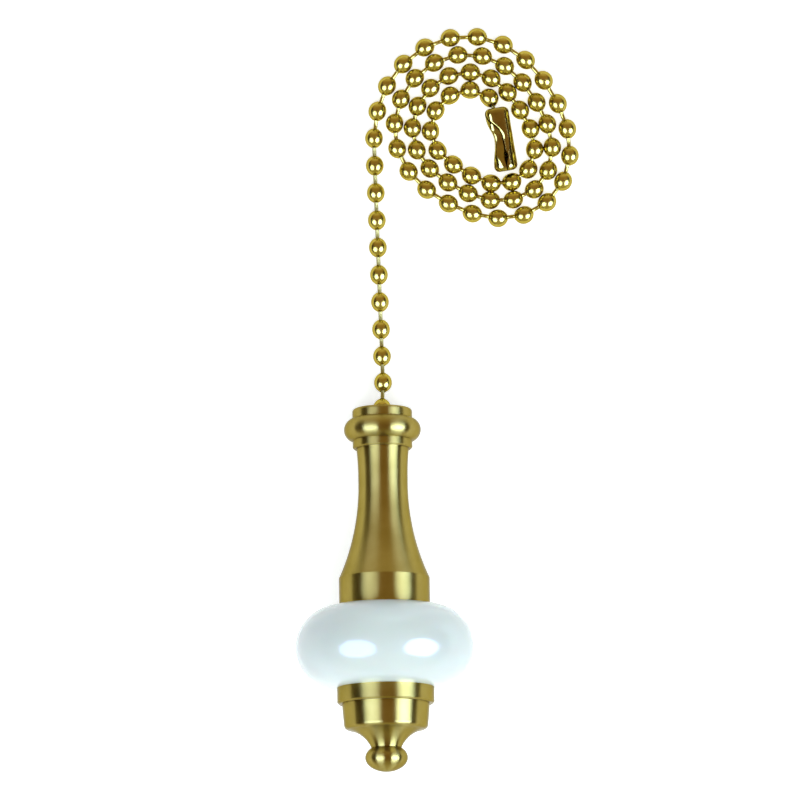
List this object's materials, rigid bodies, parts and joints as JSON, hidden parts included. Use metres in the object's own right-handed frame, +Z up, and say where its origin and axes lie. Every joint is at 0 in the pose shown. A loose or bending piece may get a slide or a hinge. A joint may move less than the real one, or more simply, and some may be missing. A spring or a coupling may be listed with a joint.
{
  "type": "pull chain pendant",
  "caption": "Turned brass pull chain pendant with a white glass disc, on a ball chain that ends in a flat coil and a connector sleeve.",
  "frame": {"origin": "on the resting surface, midway under the pendant's box, which leaves the chain out", "axes": "+Z up from the resting surface; +Y along the lying pendant from its knob to its chain end; +X to its right seen from above"},
  "size_m": [0.0519, 0.1317, 0.0313],
  "materials": {
    "turned_brass": "fine turned satin",
    "plain_brass": "plain",
    "chain_balls": "bright polished",
    "chain_wire": "bright",
    "connector_brass": "bright polished",
    "white_glass": "glossy opal"
  },
  "bodies": {
    "coil": {"chain_coil": "chain_balls", "chain_link_9": "chain_wire", "connector_link": "chain_wire"},
    "ball_9": {"chain_ball_9": "chain_balls"},
    "link_8": {"chain_link_8": "chain_wire"},
    "ball_8": {"chain_ball_8": "chain_balls"},
    "link_7": {"chain_link_7": "chain_wire"},
    "ball_7": {"chain_ball_7": "chain_balls"},
    "link_6": {"chain_link_6": "chain_wire"},
    "ball_6": {"chain_ball_6": "chain_balls"},
    "link_5": {"chain_link_5": "chain_wire"},
    "ball_5": {"chain_ball_5": "chain_balls"},
    "link_4": {"chain_link_4": "chain_wire"},
    "ball_4": {"chain_ball_4": "chain_balls"},
    "link_3": {"chain_link_3": "chain_wire"},
    "ball_3": {"chain_ball_3": "chain_balls"},
    "link_2": {"chain_link_2": "chain_wire"},
    "ball_2": {"chain_ball_2": "chain_balls"},
    "link_1": {"chain_link_1": "chain_wire"},
    "ball_1": {"chain_ball_1": "chain_balls"},
    "mouth_link": {"mouth_link": "chain_wire"},
    "chain_end": {"captive_ball": "chain_balls", "captive_link": "chain_wire", "mouth_ball": "chain_balls"},
    "pendant": {"white_disc": "white_glass", "threaded_rod": "plain_brass", "stem": "turned_brass", "chain_retainer": "plain_brass", "top_cap": "turned_brass", "finial": "turned_brass"},
    "connector_ball": {"connector_ball": "chain_balls"},
    "connector": {"connector_sleeve": "connector_brass"}
  },
  "joints": [
    {"name": "ball_9_turn", "type": "hinge", "parent": "coil", "child": "ball_9", "pos_m": [-0.00075, 0.07628, 0.0016], "axis": [0, 0, 1], "range_deg": [-22.5, 22.5]},
    {"name": "link_8_turn", "type": "hinge", "parent": "ball_9", "child": "link_8", "pos_m": [-0.0007, 0.07333, 0.0016], "axis": [0, 0, -1], "range_deg": [-22.5, 22.5]},
    {"name": "ball_8_turn", "type": "hinge", "parent": "link_8", "child": "ball_8", "pos_m": [-0.00065, 0.07138, 0.0016], "axis": [0, 0, -1], "range_deg": [-22.5, 22.5]},
    {"name": "link_7_turn", "type": "hinge", "parent": "ball_8", "child": "link_7", "pos_m": [-0.00058, 0.06843, 0.0016], "axis": [0, 0, 1], "range_deg": [-22.5, 22.5]},
    {"name": "ball_7_turn", "type": "hinge", "parent": "link_7", "child": "ball_7", "pos_m": [-0.00053, 0.06648, 0.0016], "axis": [0, 0, 1], "range_deg": [-22.5, 22.5]},
    {"name": "link_6_turn", "type": "hinge", "parent": "ball_7", "child": "link_6", "pos_m": [-0.00046, 0.06353, 0.0016], "axis": [0, 0, -1], "range_deg": [-22.5, 22.5]},
    {"name": "ball_6_turn", "type": "hinge", "parent": "link_6", "child": "ball_6", "pos_m": [-0.00041, 0.06158, 0.0016], "axis": [0, 0, -1], "range_deg": [-22.5, 22.5]},
    {"name": "link_5_turn", "type": "hinge", "parent": "ball_6", "child": "link_5", "pos_m": [-0.00034, 0.05863, 0.0016], "axis": [0, 0, 1], "range_deg": [-22.5, 22.5]},
    {"name": "ball_5_turn", "type": "hinge", "parent": "link_5", "child": "ball_5", "pos_m": [-0.00029, 0.05668, 0.0016], "axis": [0, 0, 1], "range_deg": [-22.5, 22.5]},
    {"name": "link_4_turn", "type": "hinge", "parent": "ball_5", "child": "link_4", "pos_m": [-0.00022, 0.05373, 0.0016], "axis": [0, 0, -1], "range_deg": [-22.5, 22.5]},
    {"name": "ball_4_turn", "type": "hinge", "parent": "link_4", "child": "ball_4", "pos_m": [-0.00017, 0.05178, 0.0016], "axis": [0, 0, -1], "range_deg": [-22.5, 22.5]},
    {"name": "link_3_turn", "type": "hinge", "parent": "ball_4", "child": "link_3", "pos_m": [-0.0001, 0.04884, 0.0016], "axis": [0, 0, 1], "range_deg": [-22.5, 22.5]},
    {"name": "ball_3_turn", "type": "hinge", "parent": "link_3", "child": "ball_3", "pos_m": [-0.00005, 0.04689, 0.0016], "axis": [0, 0, 1], "range_deg": [-22.5, 22.5]},
    {"name": "link_2_turn", "type": "hinge", "parent": "ball_3", "child": "link_2", "pos_m": [0.00002, 0.04396, 0.00187], "axis": [0, 0, -1], "range_deg": [-22.5, 22.5]},
    {"name": "ball_2_turn", "type": "hinge", "parent": "link_2", "child": "ball_2", "pos_m": [0.00007, 0.04204, 0.00223], "axis": [0, 0, -1], "range_deg": [-22.5, 22.5]},
    {"name": "link_1_turn", "type": "hinge", "parent": "ball_2", "child": "link_1", "pos_m": [0.00014, 0.03918, 0.00292], "axis": [0, 0, 1], "range_deg": [-22.5, 22.5]},
    {"name": "ball_1_turn", "type": "hinge", "parent": "link_1", "child": "ball_1", "pos_m": [0.00018, 0.03731, 0.00347], "axis": [0, 0, 1], "range_deg": [-22.5, 22.5]},
    {"name": "mouth_link_turn", "type": "hinge", "parent": "ball_1", "child": "mouth_link", "pos_m": [0.00015, 0.03455, 0.00449], "axis": [0, 0, -1], "range_deg": [-22.5, 22.5]},
    {"name": "pendant_tilt", "type": "hinge", "parent": "mouth_link", "child": "chain_end", "pos_m": [0.00007, 0.03277, 0.00527], "axis": [-1, 0, 0], "range_deg": [0, 22]},
    {"name": "pendant_swivel", "type": "hinge", "parent": "chain_end", "child": "pendant", "pos_m": [0, 0.02664, 0.00697], "axis": [0, 0.9738, -0.2272], "continuous": true},
    {"name": "connector_lift", "type": "hinge", "parent": "coil", "child": "connector_ball", "pos_m": [0.02095, 0.08414, 0.00197], "axis": [-0.9882, -0.153, 0], "range_deg": [0, 18]},
    {"name": "connector_swivel", "type": "hinge", "parent": "connector_ball", "child": "connector", "pos_m": [0.02145, 0.08277, 0.00217], "axis": [0.153, -0.9882, 0], "continuous": true}
  ]
}
